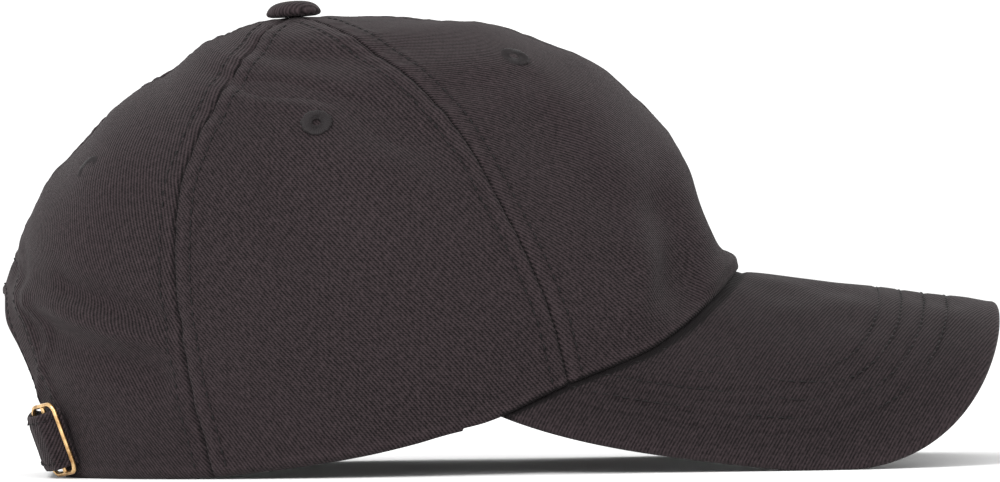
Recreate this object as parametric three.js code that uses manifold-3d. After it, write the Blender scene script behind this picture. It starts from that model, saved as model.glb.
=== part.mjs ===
// A low, soft, six-panel twill cap as it rests on a table, in millimetres.
// The front faces -Y, the wearer's right is -X and up is +Z, with the table at Z 0.
// Surfaces are worked out as (forward, side, up), where side grows towards the wearer's right.
import * as THREE from 'three';
import { mergeVertices } from 'three/addons/utils/BufferGeometryUtils.js';
import Module from 'manifold-3d';

const { clamp, degToRad, lerp, smoothstep } = THREE.MathUtils;

const wall = 1.4; // crown cloth with its seam allowance
const pieceGap = 0.4; // between neighbouring pieces
const panelTurn = 60; // degrees that one panel takes round the crown
const crownLength = 156; // from rim to button, along the cloth
const frontFullness = 6; // how much squarer than an oval the rim is above the peak
const backFullness = 2.5;
const restDip = 0.8; // how far the soft rim presses flat on the table

const peakRadius = 85; // the arch that the peak is bent to
const peakSlope = degToRad(7.7); // fall of the peak's middle line
const peakRoot = { forward: 68.1, up: 53.6 }; // where that line leaves the crown
const peakLength = 72.4;
const peakHalfWidth = 98.7; // along the cloth, from the middle to a side edge
const peakCornerDepth = 62; // how far the sides reach back past the root
const peakCornerTuck = 6.2; // how much narrower the peak is at those corners
const peakSquareness = 3.3;
const peakFrontShare = 0.7; // share of the outline that is the rounded front
const peakThickness = 3.2;
const peakTurn = 72; // degrees from the front to a corner
const peakEdge = [{ out: 0.95, deep: 0 }, { out: 0.985, deep: 0.12 }, { out: 1, deep: 0.5 }]; // its rounded rim

const arch = { turn: 22.5, level: 0.31, squareness: 2 }; // half the opening at the back
const sweatband = { height: 30, thickness: 1.2, lift: 1.2, setIn: 1.0, clearOfArch: 7 };
const strap = { width: 16, thickness: 1.5, lift: 8.9, liftAtBuckle: 10.9, sewnTurn: 12, clear: 0.9, sunk: 2.6, bulge: 0.4, tail: 2.4 };
const buckle = { turn: 152.8, tall: 21, wide: 13, corner: 2.4, wire: 1.3, proud: 3.3, lean: 6 };
const tab = { width: 14, thickness: 0.9, length: 2.6, drop: 1.1 };
const threadGap = 0.35; // between the buckle's bars and the cloth round them

const button = { radius: 7.7, height: 4.4, tilt: 3, seat: 127.0, back: 55.6 };
const rivet = { head: 4.8, headDrop: 4.6, shank: 1.3, shankDrop: 2.4 };
const eyelet = { hole: 1.2, barrel: 2.6, ring: 4.2, clear: 0.5, proud: 0.45, bevel: 0.3 };
const eyelets = [
  { panel: 'front', turn: 30, level: 0.585 },
  { panel: 'side', turn: 90, level: 0.63 },
  { panel: 'back', turn: 150, level: 0.545 },
];

// Level sections of the crown, from the rim to the button. level is the share of the way up the cloth.
// front and back are [forward, up]; fore and aft, the seams at 60 and 120 degrees, are [forward, side, up].
const sections = [
  { level: 0.0, front: [68.1, 53.9], fore: [19.3, 70.0, 23.7], aft: [-77.6, 67.5, 1.2], back: [-128.2, 1.2] },
  { level: 0.06, front: [63.4, 61.2], fore: [17.3, 70.0, 32.5], aft: [-79.9, 68.0, 10.2], back: [-130.4, 11.0] },
  { level: 0.14, front: [57.6, 72.2], fore: [14.3, 69.6, 44.3], aft: [-82.8, 68.5, 22.2], back: [-133.6, 23.9] },
  { level: 0.25, front: [51.2, 87.4], fore: [8.1, 67.8, 59.6], aft: [-85.8, 67.6, 38.9], back: [-137.0, 41.7] },
  { level: 0.38, front: [39.2, 102.8], fore: [0.0, 63.1, 77.0], aft: [-87.3, 63.6, 58.6], back: [-134.4, 62.5] },
  { level: 0.52, front: [21.5, 115.9], fore: [-9.2, 55.4, 94.4], aft: [-85.9, 57.0, 79.3], back: [-123.7, 83.5] },
  { level: 0.66, front: [0.6, 123.0], fore: [-21.2, 45.0, 108.4], aft: [-79.0, 46.6, 97.5], back: [-107.8, 100.3] },
  { level: 0.8, front: [-21.1, 126.2], fore: [-35.3, 31.0, 118.6], aft: [-70.6, 30.6, 113.0], back: [-88.6, 113.9] },
  { level: 0.92, front: [-39.9, 126.7], fore: [-47.4, 14.0, 124.9], aft: [-62.9, 13.8, 123.1], back: [-71.4, 124.1] },
  { level: 1.0, front: [-53.6, 127.0], fore: [-54.6, 1.7, 126.9], aft: [-56.6, 1.7, 126.7], back: [-57.6, 126.8] },
];

// Folds and dents of the soft cloth. Each runs from one place to another, in [degrees from the front, level],
// with its width and its height, negative for a dent. left is its share on the wearer's left.
const folds = [
  { from: [0, 0.03], to: [24, 0.03], width: 5, height: 1.6, left: 1 }, // flare where the cloth meets the peak
  { from: [0, 0.15], to: [2, 0.1], width: 8, height: -4.2, left: 1 }, // dent over the middle of the peak
  { from: [13, 0.24], to: [17, 0.11], width: 9, height: 2.0, left: 1 }, // rolls beside that dent
  { from: [27, 0.18], to: [31, 0.08], width: 8, height: -2.6, left: 0.8 },
  { from: [38, 0.16], to: [42, 0.07], width: 8, height: 1.2, left: 0.7 },
  { from: [47, 0.56], to: [42, 0.3], width: 9, height: -1.6, left: 0.8 }, // long valley in the front panel
  { from: [112, 0.66], to: [94, 0.36], width: 7, height: -1.5, left: 0.6 }, // valley behind the side eyelet
  { from: [80, 0.8], to: [66, 0.55], width: 13, height: -2.2, left: 0.8 }, // slack cloth above that eyelet
  { from: [164, 0.365], to: [127, 0.285], width: 7, height: -1.9, left: 0.8 },
  { from: [161, 0.305], to: [127, 0.244], width: 6, height: 2.4, left: 0.9 }, // slanting ridge beside the opening
  { from: [152, 0.265], to: [127, 0.185], width: 8, height: -2.4, left: 0.8 },
  { from: [172, 0.352], to: [165, 0.338], width: 5, height: -2.2, left: 0.9 }, // dent in the opening's hem
  { from: [180, 0.285], to: [171, 0.25], width: 6.5, height: 4.4, left: 1 }, // lip of the opening, pushed out
];
const foldFade = 0.03; // level below which folds die out towards the rim

const grid = { panelRows: 17, panelColumns: 12, peakRows: 9, peakColumns: 40, bandRows: 4, bandColumns: 60 };
const crownCloth = 0x373233;
const bandCloth = 0x1e1c1d;
const brass = 0x9a7445;

const wasm = await Module();
wasm.setup();

// A natural cubic spline through the values at the section levels, for level 0 to 1.
function splineOverLevels(values) {
  const x = sections.map((section) => section.level);
  const last = x.length - 1;
  const bend = new Array(last + 1).fill(0);
  const ratio = new Array(last + 1).fill(0);
  for (let i = 1; i < last; i++) {
    const share = (x[i] - x[i - 1]) / (x[i + 1] - x[i - 1]);
    const rise = (values[i + 1] - values[i]) / (x[i + 1] - x[i]);
    const riseBefore = (values[i] - values[i - 1]) / (x[i] - x[i - 1]);
    const pivot = share * ratio[i - 1] + 2;
    ratio[i] = (share - 1) / pivot;
    bend[i] = ((6 * (rise - riseBefore)) / (x[i + 1] - x[i - 1]) - share * bend[i - 1]) / pivot;
  }
  for (let i = last - 1; i > 0; i--) bend[i] += ratio[i] * bend[i + 1];
  return (level) => {
    let i = 1;
    while (i < last && level > x[i]) i++;
    const step = x[i] - x[i - 1];
    const a = (x[i] - level) / step;
    const b = 1 - a;
    const curve = ((a ** 3 - a) * bend[i - 1] + (b ** 3 - b) * bend[i]) * (step ** 2 / 6);
    return a * values[i - 1] + b * values[i] + curve;
  };
}

const column = (line, index) => splineOverLevels(sections.map((section) => section[line][index]));
const forwardAt = [column('front', 0), column('fore', 0), column('aft', 0), column('back', 0)];
const upAt = [column('front', 1), column('fore', 2), column('aft', 2), column('back', 1)];
const sideAt = [column('fore', 1), column('aft', 1)];

// The even function of the angle that has the values of four lines at 0, 60, 120 and 180 degrees.
function roundTheCrown(lines, level, turn) {
  const [front, fore, aft, back] = lines.map((line) => line(level));
  const evenSum = (front + back) / 2;
  const oddSum = (front - back) / 2;
  const even = (fore + aft + evenSum) / 3;
  const odd = (oddSum - (fore - aft)) / 3;
  return even + (oddSum - odd) * Math.cos(turn) + (evenSum - even) * Math.cos(2 * turn) + odd * Math.cos(3 * turn);
}

// How far the cloth is from the middle plane. It is a little fuller than an oval near the rim.
function sideOf(degrees, level) {
  const turn = degToRad(degrees);
  const [fore, aft] = sideAt.map((line) => line(level) / (2 * Math.sin(degToRad(panelTurn))));
  const fullness = frontFullness * (1 - smoothstep(degrees, 40, 75)) + backFullness * smoothstep(degrees, 105, 140);
  const oval = (fore + aft) * Math.sin(turn) + (fore - aft) * Math.sin(2 * turn);
  return oval + fullness * (1 - level) ** 2 * Math.sin(3 * turn);
}

// The height of the peak's upper face over a point of the plan, and how far along the peak that is.
function peakHeight(forward, side) {
  const drop = peakRadius - Math.sqrt(Math.max(peakRadius ** 2 - side ** 2, 0));
  const along = (forward - peakRoot.forward + drop * Math.sin(peakSlope)) / Math.cos(peakSlope);
  return { along, up: peakRoot.up - along * Math.sin(peakSlope) - drop * Math.cos(peakSlope) };
}

// The crown without its folds. The rim's front lies on the peak, and its back is pressed flat on the table.
function plainCrown(degrees, level) {
  const away = Math.abs(degrees);
  const turn = degToRad(away);
  let up = roundTheCrown(upAt, level, turn);
  const nearRim = (1 - smoothstep(level, 0, 0.25)) ** 2;
  if (nearRim > 0) {
    const rimUp = roundTheCrown(upAt, 0, turn);
    const rimForward = roundTheCrown(forwardAt, 0, turn);
    const toPeak = peakHeight(rimForward, sideOf(away, 0)).up + pieceGap - rimUp;
    const toTable = Math.max(rimUp - restDip, 0) - rimUp;
    up += nearRim * toPeak * (1 - smoothstep(away, peakTurn, peakTurn + 14));
    up += nearRim * toTable * smoothstep(away, 100, 130);
  }
  const side = Math.sign(degrees || 1) * sideOf(away, level);
  return new THREE.Vector3(roundTheCrown(forwardAt, level, turn), side, up);
}

// A place on the cloth laid out flat, for measuring how far it is from a fold.
function laidOut(degrees, level) {
  const radius = sideAt[0](level) / Math.sin(degToRad(panelTurn));
  return new THREE.Vector2(degToRad(degrees) * radius, level * crownLength);
}

function foldHeight(degrees, level) {
  const here = laidOut(Math.abs(degrees), level);
  let total = 0;
  for (const fold of folds) {
    const from = laidOut(...fold.from);
    const run = laidOut(...fold.to).sub(from);
    const share = clamp(here.clone().sub(from).dot(run) / run.lengthSq(), 0, 1);
    const away = here.distanceTo(from.addScaledVector(run, share)) / fold.width;
    total += fold.height * (degrees < 0 ? fold.left : 1) * Math.exp(-away * away);
  }
  return total * smoothstep(level, 0, foldFade);
}

// The outward normal of a surface that is a function of the angle and the level
function outward(surface, degrees, level) {
  const turnStep = 0.05;
  const levelStep = 0.0005;
  const high = Math.min(level + levelStep, 1);
  const low = Math.max(high - 2 * levelStep, 0);
  const around = surface(degrees + turnStep, level).sub(surface(degrees - turnStep, level));
  const along = surface(degrees, high).sub(surface(degrees, low));
  return around.cross(along).normalize();
}

const foldedCrown = (degrees, level) =>
  plainCrown(degrees, level).addScaledVector(outward(plainCrown, degrees, level), foldHeight(degrees, level));

// The crown moved inwards by depth. At the rim it moves level, so that the cut edge is flat, and it stays
// above the peak.
function crownAt(degrees, level, depth = 0) {
  const point = foldedCrown(degrees, level);
  if (depth === 0) return point;
  const normal = outward(foldedCrown, degrees, level);
  normal.z *= smoothstep(level, 0, foldFade);
  point.addScaledVector(normal.normalize(), -depth);
  if (Math.abs(degrees) < peakTurn + 6) point.z = Math.max(point.z, peakHeight(point.x, point.y).up + pieceGap);
  return point;
}

// From (forward, side, up) to the part's own X, Y and Z
const place = ({ x, y, z }) => new THREE.Vector3(-y, -x, z);

function solidFrom(geometry) {
  const bare = new THREE.BufferGeometry().setAttribute('position', geometry.getAttribute('position').clone());
  bare.setIndex(geometry.getIndex().clone());
  const merged = mergeVertices(bare, 1e-3);
  const vertProperties = merged.attributes.position.array;
  const triVerts = new Uint32Array(merged.index.array);
  return new wasm.Manifold(new wasm.Mesh({ numProp: 3, vertProperties, triVerts }));
}

function geometryFrom(solid) {
  const mesh = solid.getMesh();
  const position = new THREE.BufferAttribute(new Float32Array(mesh.vertProperties), mesh.numProp);
  const geometry = new THREE.BufferGeometry().setAttribute('position', position);
  return geometry.setIndex(new THREE.BufferAttribute(new Uint32Array(mesh.triVerts), 1));
}

// A geometry from points and triangles, turned round if it faces in.
function closedGeometry(corners, index) {
  const geometry = new THREE.BufferGeometry().setFromPoints(corners).setIndex(index);
  if (solidFrom(geometry).volume() > 0) return geometry;
  return geometry.setIndex(index.map((_, i) => index[i - (i % 3) + [0, 2, 1][i % 3]]));
}

// A closed shell between two matching grids of points.
function shell(outer, inner) {
  const rows = outer.length;
  const columns = outer[0].length;
  const index = [];
  const quad = (a, b, c, d) => index.push(a, b, c, a, c, d);
  const at = (layer, row, col) => (layer * rows + row) * columns + col;
  for (let r = 0; r + 1 < rows; r++) {
    for (let c = 0; c + 1 < columns; c++) {
      quad(at(0, r, c), at(0, r, c + 1), at(0, r + 1, c + 1), at(0, r + 1, c));
      quad(at(1, r, c), at(1, r + 1, c), at(1, r + 1, c + 1), at(1, r, c + 1));
    }
    quad(at(0, r, 0), at(0, r + 1, 0), at(1, r + 1, 0), at(1, r, 0));
    quad(at(0, r, columns - 1), at(1, r, columns - 1), at(1, r + 1, columns - 1), at(0, r + 1, columns - 1));
  }
  for (let c = 0; c + 1 < columns; c++) {
    quad(at(0, 0, c), at(1, 0, c), at(1, 0, c + 1), at(0, 0, c + 1));
    quad(at(0, rows - 1, c), at(0, rows - 1, c + 1), at(1, rows - 1, c + 1), at(1, rows - 1, c));
  }
  return closedGeometry([...outer.flat(), ...inner.flat()], index);
}

// A grid of points, from a function of the row and the column.
function pointGrid(rows, columns, at) {
  return Array.from({ length: rows + 1 }, (_, r) => Array.from({ length: columns + 1 }, (__, c) => at(r, c)));
}

// A frame on the crown: Z along the outward normal, X towards the front and Y up the cloth.
function frameOnCrown(degrees, level, lift = 0) {
  const normal = place(outward(foldedCrown, degrees, level));
  const origin = place(foldedCrown(degrees, level));
  const across = place(foldedCrown(degrees, level + 0.01)).sub(origin).cross(normal).normalize();
  const along = normal.clone().cross(across).normalize();
  return new THREE.Matrix4().makeBasis(across, along, normal).setPosition(origin.addScaledVector(normal, lift));
}

// The level where a panel's cloth begins: the rim, or the edge of the opening at the back.
function lowestLevel(degrees) {
  const share = (180 - Math.abs(degrees)) / arch.turn;
  return share >= 1 ? 0 : arch.level * (1 - share ** arch.squareness) ** (1 / arch.squareness);
}

// The angle that lies half a gap inside a seam, at a level. inward is 1 or -1.
function besideSeam(degrees, level, inward) {
  const step = 0.5 * inward;
  const arc = plainCrown(degrees + step, level).distanceTo(plainCrown(degrees, level));
  return degrees + (step * pieceGap) / 2 / arc;
}

// The share of the way across a panel for a column, closer together beside the opening at the back.
function columnShare(start, c) {
  const even = c / grid.panelColumns;
  if (start === 120) return lerp(even, Math.sin((even * Math.PI) / 2), 0.4);
  if (start === -180) return lerp(even, 1 - Math.cos((even * Math.PI) / 2), 0.4);
  return even;
}

// One sixth of the crown, from one seam to the next, with its eyelet's hole.
function panelGeometry(start, hole) {
  const end = start + panelTurn;
  const faces = [0, wall].map((depth) => pointGrid(grid.panelRows, grid.panelColumns, (r, c) => {
    const across = columnShare(start, c);
    const level = lerp(lowestLevel(lerp(start, end, across)), 1, (r / grid.panelRows) ** 1.1);
    const point = crownAt(lerp(besideSeam(start, level, 1), besideSeam(end, level, -1), across), level, depth);
    if (start >= 0) point.y = Math.max(point.y, pieceGap / 2);
    if (end <= 0) point.y = Math.min(point.y, -pieceGap / 2);
    return place(point);
  }));
  const radius = eyelet.barrel + 0.3;
  const cutter = new THREE.CylinderGeometry(radius, radius, 8, 16).rotateX(Math.PI / 2);
  cutter.applyMatrix4(frameOnCrown(hole.turn, hole.level, -wall / 2));
  return geometryFrom(solidFrom(shell(...faces)).subtract(solidFrom(cutter)));
}

// A solid of revolution about Z from a profile of [radius, height].
function turned(profile, segments) {
  return new THREE.LatheGeometry(profile.map((corner) => new THREE.Vector2(...corner)), segments).rotateX(Math.PI / 2);
}

// A thread-bound eyelet: a barrel in the cloth with a flat ring over each face.
function eyeletGeometry() {
  const { hole, barrel, ring, clear, bevel } = eyelet;
  const top = clear + eyelet.proud;
  return turned([
    [hole, -wall - top], [ring - bevel, -wall - top], [ring, -wall - clear], [barrel, -wall - clear],
    [barrel, clear], [ring, clear], [ring - bevel, top], [hole, top], [hole, -wall - top],
  ], 10);
}

// The covered button on top, with the rivet that holds the panels' points together.
function buttonGeometry() {
  const { radius, height } = button;
  return turned([
    [0, -rivet.headDrop], [rivet.head - 0.4, -rivet.headDrop], [rivet.head, -rivet.headDrop + 0.6],
    [rivet.shank, -rivet.shankDrop], [rivet.shank, 0.6], [radius * 0.65, 0.45], [radius - 1.1, -0.1],
    [radius - 0.2, 0.5], [radius, 1.3], [radius - 0.5, 2.4], [radius - 1.8, 3.4], [radius - 4.2, height - 0.25],
    [0, height],
  ], 20);
}

// The outer edge of the flat peak, from -1 at the left corner to 1 at the right one: [across, along].
function peakOutline(share) {
  const away = Math.abs(share);
  if (away > peakFrontShare) {
    const back = (away - peakFrontShare) / (1 - peakFrontShare);
    return [Math.sign(share) * (peakHalfWidth - peakCornerTuck * back ** 3), -peakCornerDepth * back];
  }
  const turn = (away / peakFrontShare) * (Math.PI / 2);
  const reach = (Math.sin(turn) ** peakSquareness + Math.cos(turn) ** peakSquareness) ** (-1 / peakSquareness);
  return [Math.sign(share) * peakHalfWidth * Math.sin(turn) * reach, peakLength * Math.cos(turn) * reach];
}

// The inner edge of the flat peak, just inside the crown's wall.
function peakInner(degrees) {
  const rim = crownAt(degrees, 0, wall + 0.5);
  return [peakRadius * Math.asin(rim.y / peakRadius), peakHeight(rim.x, rim.y).along];
}

// A point of the flat peak, bent into place, at a depth under its upper face and never under the table.
function peakAt(across, along, depth) {
  const turn = across / peakRadius;
  const drop = peakRadius - (peakRadius - depth) * Math.cos(turn);
  return new THREE.Vector3(
    peakRoot.forward + along * Math.cos(peakSlope) - drop * Math.sin(peakSlope),
    (peakRadius - depth) * Math.sin(turn),
    Math.max(peakRoot.up - along * Math.sin(peakSlope) - drop * Math.cos(peakSlope), 0),
  );
}

function peakGeometry() {
  const flatRows = grid.peakRows - peakEdge.length + 1;
  const faces = [1, -1].map((face) => pointGrid(grid.peakRows, grid.peakColumns, (r, c) => {
    const share = (c / grid.peakColumns) * 2 - 1;
    const { out, deep } = r > flatRows ? peakEdge[r - flatRows] : { out: (r / flatRows) * peakEdge[0].out, deep: 0 };
    const [innerAcross, innerAlong] = peakInner(share * peakTurn);
    const [outerAcross, outerAlong] = peakOutline(share);
    const depth = (face > 0 ? deep : 1 - deep) * peakThickness;
    return place(peakAt(lerp(innerAcross, outerAcross, out), lerp(innerAlong, outerAlong, out), depth));
  }));
  return shell(...faces);
}

// The band of cloth inside the rim, from one side of the opening round the front to the other.
function sweatbandGeometry() {
  const end = 180 - arch.turn - sweatband.clearOfArch;
  const faces = [0, sweatband.thickness].map((thick) => pointGrid(grid.bandRows, grid.bandColumns, (r, c) => {
    const level = (sweatband.lift + (sweatband.height * r) / grid.bandRows) / crownLength;
    return place(crownAt(lerp(-end, end, c / grid.bandColumns), level, wall + sweatband.setIn + thick));
  }));
  return shell(...faces);
}

// A flat ribbon along a path of { at, up }, where up is the direction of its width.
function ribbon(path, width, thickness) {
  const faces = [1, -1].map((face) => pointGrid(2, path.length - 1, (r, c) => {
    const { at, up } = path[c];
    const ahead = path[Math.min(c + 1, path.length - 1)].at;
    const behind = path[Math.max(c - 1, 0)].at;
    const normal = ahead.clone().sub(behind).cross(up).normalize();
    return at.clone().addScaledVector(up, (r / 2 - 0.5) * width).addScaledVector(normal, (face * thickness) / 2);
  }));
  return shell(...faces);
}

// The buckle's place: Z out of its plane, Y along its bars and X towards the front. Its top leans outwards.
const buckleSeat = frameOnCrown(buckle.turn, strap.liftAtBuckle / crownLength, buckle.proud);
buckleSeat.multiply(new THREE.Matrix4().makeRotationX(degToRad(buckle.lean)));
const barPitch = (buckle.wide - buckle.wire) / 2;

// A step of a ribbon's path, from a frame and a place in its XZ plane
function stepIn(frame, x = 0, z = 0) {
  return {
    at: new THREE.Vector3(x, 0, z).applyMatrix4(frame),
    up: new THREE.Vector3(0, 1, 0).transformDirection(frame),
  };
}

// The strap across the opening at the back, sewn to the left panel and drawn straight to the buckle. It passes
// over the far bar and over the tab on the middle one, then under the near bar, where it is tucked in.
function strapGeometry() {
  const path = [];
  const stepTurn = 3;
  const stepLength = 0.9;
  const freeSteps = 10;
  for (let away = arch.turn + strap.sewnTurn; away >= 0; away -= stepTurn) {
    const clear = lerp(-strap.sunk, strap.clear, smoothstep(away, 0, arch.turn - 3));
    path.push(stepIn(frameOnCrown(away - 180, strap.lift / crownLength, clear + strap.thickness / 2)));
  }
  const onBar = (buckle.wire + strap.thickness) / 2 + threadGap;
  const onTab = onBar + tab.thickness + 0.3;
  const back = path.at(-1);
  const bar = stepIn(buckleSeat, -barPitch - 0.4, onBar);
  const out = bar.at.clone().sub(back.at).cross(bar.up).normalize();
  for (let k = 1; k <= freeSteps; k++) {
    const share = k / freeSteps;
    path.push({
      at: back.at.clone().lerp(bar.at, share).addScaledVector(out, strap.bulge * Math.sin(Math.PI * share)),
      up: back.up.clone().lerp(bar.up, share).normalize(),
    });
  }
  for (let x = -barPitch + 0.5; x <= barPitch + strap.tail; x += stepLength) {
    const rise = lerp(onBar, onTab, smoothstep(x, -barPitch, -barPitch / 3));
    path.push(stepIn(buckleSeat, x, lerp(rise, -onBar, smoothstep(x, 0.24 * barPitch, 0.97 * barPitch))));
  }
  return ribbon(path, strap.width, strap.thickness);
}

// The tab round the buckle's middle bar, under the strap, with both ends sewn down in front of it.
function tabGeometry() {
  const radius = (buckle.wire + tab.thickness) / 2 + threadGap;
  const path = [[tab.length, radius - 2.2 * tab.drop], [tab.length / 2, radius - 0.8 * tab.drop]];
  for (let turn = 90; turn <= 270; turn += 22.5) {
    path.push([radius * Math.cos(degToRad(turn)), radius * Math.sin(degToRad(turn))]);
  }
  path.push([tab.length / 2, -radius - 0.3 * tab.drop], [tab.length, -radius - 0.7 * tab.drop]);
  return ribbon(path.map(([x, z]) => stepIn(buckleSeat, x, z)), tab.width, tab.thickness);
}

// The slide buckle: a rounded frame of wire with a middle bar.
function buckleGeometry() {
  const sides = 8;
  const cornerSteps = 3;
  const radius = buckle.wire / 2;
  const halfTall = (buckle.tall - buckle.wire) / 2;
  const path = [[1, 1], [-1, 1], [-1, -1], [1, -1]].flatMap(([x, y], corner) =>
    Array.from({ length: cornerSteps + 1 }, (_, step) => {
      const turn = (Math.PI / 2) * (corner + step / cornerSteps);
      return new THREE.Vector3(
        x * (barPitch - buckle.corner) + buckle.corner * Math.cos(turn),
        y * (halfTall - buckle.corner) + buckle.corner * Math.sin(turn),
        0,
      );
    }));
  const corners = [];
  const index = [];
  path.forEach((point, i) => {
    const ahead = path[(i + 1) % path.length].clone().sub(path.at(i - 1)).normalize();
    const outwards = new THREE.Vector3(ahead.y, -ahead.x, 0);
    const here = i * sides;
    const next = ((i + 1) % path.length) * sides;
    for (let k = 0; k < sides; k++) {
      const turn = (2 * Math.PI * k) / sides;
      const beside = (k + 1) % sides;
      corners.push(point.clone().addScaledVector(outwards, Math.cos(turn) * radius).setZ(Math.sin(turn) * radius));
      index.push(here + k, next + k, next + beside, here + k, next + beside, here + beside);
    }
  });
  const middleBar = new THREE.CylinderGeometry(radius, radius, 2 * halfTall, sides);
  return geometryFrom(solidFrom(closedGeometry(corners, index)).add(solidFrom(middleBar)));
}

const cap = new THREE.Group();

function addMesh(name, geometry, color, matrix = new THREE.Matrix4()) {
  const metal = color === brass;
  const material = new THREE.MeshStandardMaterial({ color, roughness: metal ? 0.35 : 0.95, metalness: metal ? 1 : 0 });
  const mesh = new THREE.Mesh(geometry, material);
  mesh.name = name;
  mesh.applyMatrix4(matrix);
  cap.add(mesh);
}

for (const { panel, turn, level } of eyelets) {
  for (const [side, sign] of [['right', 1], ['left', -1]]) {
    const hole = { turn: sign * turn, level };
    addMesh(`${panel}_panel_${side}`, panelGeometry(hole.turn - panelTurn / 2, hole), crownCloth);
    addMesh(`eyelet_${panel}_${side}`, eyeletGeometry(), bandCloth, frameOnCrown(hole.turn, level));
  }
}
const buttonSeat = new THREE.Matrix4().makeRotationX(degToRad(-button.tilt)).setPosition(0, button.back, button.seat);
addMesh('button', buttonGeometry(), crownCloth, buttonSeat);
addMesh('peak', peakGeometry(), crownCloth);
addMesh('sweatband', sweatbandGeometry(), bandCloth);
addMesh('strap', strapGeometry(), crownCloth);
addMesh('buckle_tab', tabGeometry(), crownCloth);
addMesh('buckle', buckleGeometry(), brass, buckleSeat);

export default cap;
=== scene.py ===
# A soft six-panel twill cap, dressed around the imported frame.
# Shapes are worked out in millimetres as (forward, side, up), with side towards the wearer's right, and
# placed in the frame in metres, where the front faces -Y and the wearer's right is -X.
import math

import bpy
import numpy as np
from mathutils import Matrix, Vector


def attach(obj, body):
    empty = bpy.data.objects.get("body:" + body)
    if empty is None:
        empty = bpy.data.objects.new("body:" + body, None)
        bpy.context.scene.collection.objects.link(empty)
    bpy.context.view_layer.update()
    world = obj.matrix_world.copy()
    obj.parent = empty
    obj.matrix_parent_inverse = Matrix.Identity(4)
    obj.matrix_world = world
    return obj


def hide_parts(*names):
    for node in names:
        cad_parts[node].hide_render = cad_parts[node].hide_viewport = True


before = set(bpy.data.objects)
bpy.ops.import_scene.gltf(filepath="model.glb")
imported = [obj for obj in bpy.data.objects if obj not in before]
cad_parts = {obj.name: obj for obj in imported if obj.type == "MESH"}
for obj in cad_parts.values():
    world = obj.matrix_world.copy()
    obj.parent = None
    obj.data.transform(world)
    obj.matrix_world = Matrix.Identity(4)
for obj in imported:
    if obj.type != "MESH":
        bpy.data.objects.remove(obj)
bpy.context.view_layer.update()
print("frame loaded:", len(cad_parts), "nodes")


# Rows of a table as dictionaries, by the names of its columns
def table(columns, rows):
    return [dict(zip(columns.split(), row)) for row in rows]


# The crown's cloth. Each section is a level line round the crown, at a share of the way from rim to button.
# front and back are (forward, up); fore and aft, the seams at 60 and 120 degrees, are (forward, side, up).
crown = {
    "length": 156,  # from rim to button, along the cloth
    "wall": 1.4,
    "gap": 0.4,  # over the peak
    "seamGap": 0.06,  # between neighbouring panels
    "restDip": 0.8,  # how far the rim presses flat on the table
    "frontFullness": 6,
    "backFullness": 2.5,
    "curl": 1.15,  # how far the rim and the opening's edge roll in
    "curlWidth": 1.7,
    "wave": 0.34,  # soft unevenness all over
    "waveSize": 34,
    "rows": 150,
    "columns": 92,
    "sections": table("level front fore aft back", [
        (0.0, (68.1, 53.9), (19.3, 70.0, 23.7), (-77.6, 67.5, 1.2), (-128.2, 1.2)),
        (0.06, (63.4, 61.2), (17.3, 70.0, 32.5), (-79.9, 68.0, 10.2), (-130.4, 11.0)),
        (0.14, (57.6, 72.2), (14.3, 69.6, 44.3), (-82.8, 68.5, 22.2), (-133.6, 23.9)),
        (0.25, (51.2, 87.4), (8.1, 67.8, 59.6), (-85.8, 67.6, 38.9), (-137.0, 41.7)),
        (0.38, (39.2, 102.8), (0.0, 63.1, 77.0), (-87.3, 63.6, 58.6), (-134.4, 62.5)),
        (0.52, (21.5, 115.9), (-9.2, 55.4, 94.4), (-85.9, 57.0, 79.3), (-123.7, 83.5)),
        (0.66, (0.6, 123.0), (-21.2, 45.0, 108.4), (-79.0, 46.6, 97.5), (-107.8, 100.3)),
        (0.8, (-21.1, 126.2), (-35.3, 31.0, 118.6), (-70.6, 30.6, 113.0), (-88.6, 113.9)),
        (0.92, (-39.9, 126.7), (-47.4, 14.0, 124.9), (-62.9, 13.8, 123.1), (-71.4, 124.1)),
        (1.0, (-53.6, 127.0), (-54.6, 1.7, 126.9), (-56.6, 1.7, 126.7), (-57.6, 126.8)),
    ]),
}

# Folds and dents, each from one place to another, in (degrees from the front, level), with its width and its
# height in millimetres, negative for a dent. left is its share on the wearer's left.
folds = table("start end width height left", [
    ((0, 0.03), (24, 0.03), 5, 1.6, 1),  # flare over the peak
    ((0, 0.15), (2, 0.1), 8, -4.2, 1),
    ((13, 0.24), (17, 0.11), 9, 2.0, 1),
    ((27, 0.18), (31, 0.08), 8, -2.6, 0.8),
    ((38, 0.16), (42, 0.07), 8, 1.2, 0.7),
    ((47, 0.56), (42, 0.3), 9, -1.6, 0.8),
    ((112, 0.66), (94, 0.36), 7, -1.5, 0.6),
    ((80, 0.8), (66, 0.55), 13, -2.2, 0.8),
    ((164, 0.365), (127, 0.285), 7, -1.9, 0.8),
    ((161, 0.305), (127, 0.244), 6, 2.4, 0.9),  # slanting ridge beside the opening
    ((152, 0.265), (127, 0.185), 8, -2.4, 0.8),
    ((172, 0.352), (165, 0.338), 5, -2.2, 0.9),  # dent in the opening's hem
    ((180, 0.285), (171, 0.25), 6.5, 4.4, 1),  # lip of the opening, pushed out
])

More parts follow.
